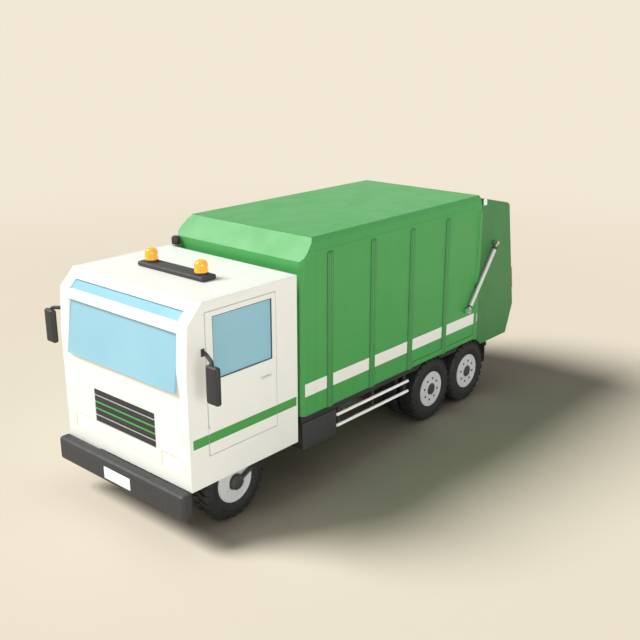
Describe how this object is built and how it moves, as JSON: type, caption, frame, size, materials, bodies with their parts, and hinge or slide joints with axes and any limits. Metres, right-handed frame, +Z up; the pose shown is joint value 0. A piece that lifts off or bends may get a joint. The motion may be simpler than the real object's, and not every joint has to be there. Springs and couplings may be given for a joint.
{
  "type": "rear-loading garbage truck",
  "caption": "Rear-loading garbage truck with a flat white tilting cab, ribbed green box body and lifting tailgate with hopper and packer blade.",
  "frame": {"origin": "on the ground under the middle of the truck's length and width", "axes": "+X forward towards the cab, +Y to the truck's left-hand side, +Z up"},
  "size_m": [7.73, 3.46, 3.485],
  "materials": {
    "cab_paint": "satin warm white",
    "body_paint": "satin green",
    "tail_paint": "satin deep green",
    "frame_paint": "satin black",
    "bumper_grey": "matt dark grey",
    "grille_grey": "matt dark grey",
    "rim_paint": "satin grey",
    "tyre": "matt",
    "cast": "rough",
    "bright_steel": "brushed",
    "exhaust": "polished",
    "wear_steel": "worn",
    "tinted_glass": "polished pale blue",
    "lamp_lens": "clear white",
    "amber_lens": "translucent amber",
    "red_lens": "translucent red",
    "guard_white": "satin white",
    "mirror_case": "matt dark grey",
    "seat_fabric": "woven",
    "trim": "matt grey",
    "flap_rubber": "matt"
  },
  "bodies": {
    "chassis": {"frame_rails": "frame_paint", "cross_members": "frame_paint", "bearers": "frame_paint", "side_sills": "frame_paint", "rear_bar": "frame_paint", "tow_plate": "frame_paint", "front_bumper": "bumper_grey", "front_axle": "frame_paint", "rear_axles": "frame_paint", "driveline": "cast", "side_boxes": "bumper_grey", "side_guards": "guard_white", "guard_posts": "frame_paint", "exhaust_stack": "exhaust", "mud_flaps": "flap_rubber", "body_floor": "body_paint", "body_sides": "body_paint", "body_roof": "body_paint", "body_front": "body_paint"},
    "ejector": {"ejector_panel": "wear_steel"},
    "cab": {"cab_floor": "trim", "cab_front": "cab_paint", "cab_roof": "cab_paint", "cab_back": "cab_paint", "cab_sides": "cab_paint", "windscreen": "tinted_glass", "grille": "grille_grey", "head_lamps": "lamp_lens", "light_bar": "bumper_grey", "beacons": "amber_lens", "mirrors": "mirror_case", "seats": "seat_fabric", "dashboard": "trim"},
    "left_door": {"door_left": "cab_paint", "door_left_glass": "tinted_glass"},
    "right_door": {"door_right": "cab_paint", "door_right_glass": "tinted_glass"},
    "tailgate": {"tailgate_shell": "tail_paint", "hopper": "tail_paint", "tail_lamps": "red_lens"},
    "packer": {"packer_blade": "wear_steel"},
    "left_barrel": {"lift_barrel_left": "bright_steel"},
    "right_barrel": {"lift_barrel_right": "bright_steel"},
    "left_rod": {"lift_rod_left": "bright_steel"},
    "right_rod": {"lift_rod_right": "bright_steel"},
    "left_knuckle": {"knuckle_left": "cast"},
    "right_knuckle": {"knuckle_right": "cast"},
    "wheel_front_left": {"tyre_front_left": "tyre", "rim_front_left": "rim_paint"},
    "wheel_front_right": {"tyre_front_right": "tyre", "rim_front_right": "rim_paint"},
    "wheels_middle_left": {"tyres_middle_left": "tyre", "rims_middle_left": "rim_paint"},
    "wheels_middle_right": {"tyres_middle_right": "tyre", "rims_middle_right": "rim_paint"},
    "wheels_rear_left": {"tyres_rear_left": "tyre", "rims_rear_left": "rim_paint"},
    "wheels_rear_right": {"tyres_rear_right": "tyre", "rims_rear_right": "rim_paint"}
  },
  "joints": [
    {"name": "cab_tilt", "type": "hinge", "parent": "chassis", "child": "cab", "pos_m": [3.6, 0, 0.85], "axis": [0, 1, 0], "range_deg": [0, 55]},
    {"name": "left_door_hinge", "type": "hinge", "parent": "cab", "child": "left_door", "pos_m": [3.371, 1.262, 1.9], "axis": [0, 0, -1], "range_deg": [0, 70]},
    {"name": "right_door_hinge", "type": "hinge", "parent": "cab", "child": "right_door", "pos_m": [3.371, -1.262, 1.9], "axis": [0, 0, 1], "range_deg": [0, 70]},
    {"name": "tailgate_hinge", "type": "hinge", "parent": "chassis", "child": "tailgate", "pos_m": [-2.6775, 0, 3.44], "axis": [0, 1, 0], "range_deg": [0, 70]},
    {"name": "packer_hinge", "type": "hinge", "parent": "tailgate", "child": "packer", "pos_m": [-3.045, 0, 2.07615], "axis": [0, 1, 0], "range_deg": [0, 60]},
    {"name": "ejector_slide", "type": "slide", "parent": "chassis", "child": "ejector", "axis": [-1, 0, 0], "range_m": [0, 3.7]},
    {"name": "left_barrel_swing", "type": "hinge", "parent": "chassis", "child": "left_barrel", "pos_m": [-2.295, 1.309, 1.64], "axis": [0, 1, 0], "range_deg": [0, 4.59]},
    {"name": "left_rod_slide", "type": "slide", "parent": "left_barrel", "child": "left_rod", "axis": [-0.618, 0, 0.7862], "range_m": [0, 1.01581]},
    {"name": "left_steer", "type": "hinge", "parent": "chassis", "child": "left_knuckle", "pos_m": [2.84, 0.8, 0.52], "axis": [0, 0, 1], "range_deg": [-18, 18]},
    {"name": "front_left_wheel_spin", "type": "hinge", "parent": "left_knuckle", "child": "wheel_front_left", "pos_m": [2.84, 0.978, 0.52], "axis": [0, 1, 0], "continuous": true},
    {"name": "middle_left_wheels_spin", "type": "hinge", "parent": "chassis", "child": "wheels_middle_left", "pos_m": [-1.383, 0.932, 0.52], "axis": [0, 1, 0], "continuous": true},
    {"name": "rear_left_wheels_spin", "type": "hinge", "parent": "chassis", "child": "wheels_rear_left", "pos_m": [-2.441, 0.932, 0.52], "axis": [0, 1, 0], "continuous": true},
    {"name": "right_barrel_swing", "type": "hinge", "parent": "chassis", "child": "right_barrel", "pos_m": [-2.295, -1.309, 1.64], "axis": [0, 1, 0], "range_deg": [0, 4.59]},
    {"name": "right_rod_slide", "type": "slide", "parent": "right_barrel", "child": "right_rod", "axis": [-0.618, 0, 0.7862], "range_m": [0, 1.01581]},
    {"name": "right_steer", "type": "hinge", "parent": "chassis", "child": "right_knuckle", "pos_m": [2.84, -0.8, 0.52], "axis": [0, 0, 1], "range_deg": [-18, 18]},
    {"name": "front_right_wheel_spin", "type": "hinge", "parent": "right_knuckle", "child": "wheel_front_right", "pos_m": [2.84, -0.978, 0.52], "axis": [0, 1, 0], "continuous": true},
    {"name": "middle_right_wheels_spin", "type": "hinge", "parent": "chassis", "child": "wheels_middle_right", "pos_m": [-1.383, -0.932, 0.52], "axis": [0, 1, 0], "continuous": true},
    {"name": "rear_right_wheels_spin", "type": "hinge", "parent": "chassis", "child": "wheels_rear_right", "pos_m": [-2.441, -0.932, 0.52], "axis": [0, 1, 0], "continuous": true}
  ],
  "couplings": [
    {"joint": "right_steer", "follows": "left_steer", "ratio": 1},
    {"joint": "left_barrel_swing", "follows": "tailgate_hinge", "ratio": 0.065506},
    {"joint": "left_rod_slide", "follows": "tailgate_hinge", "m_per_rad": 0.83129},
    {"joint": "right_barrel_swing", "follows": "tailgate_hinge", "ratio": 0.065506},
    {"joint": "right_rod_slide", "follows": "tailgate_hinge", "m_per_rad": 0.83129}
  ]
}
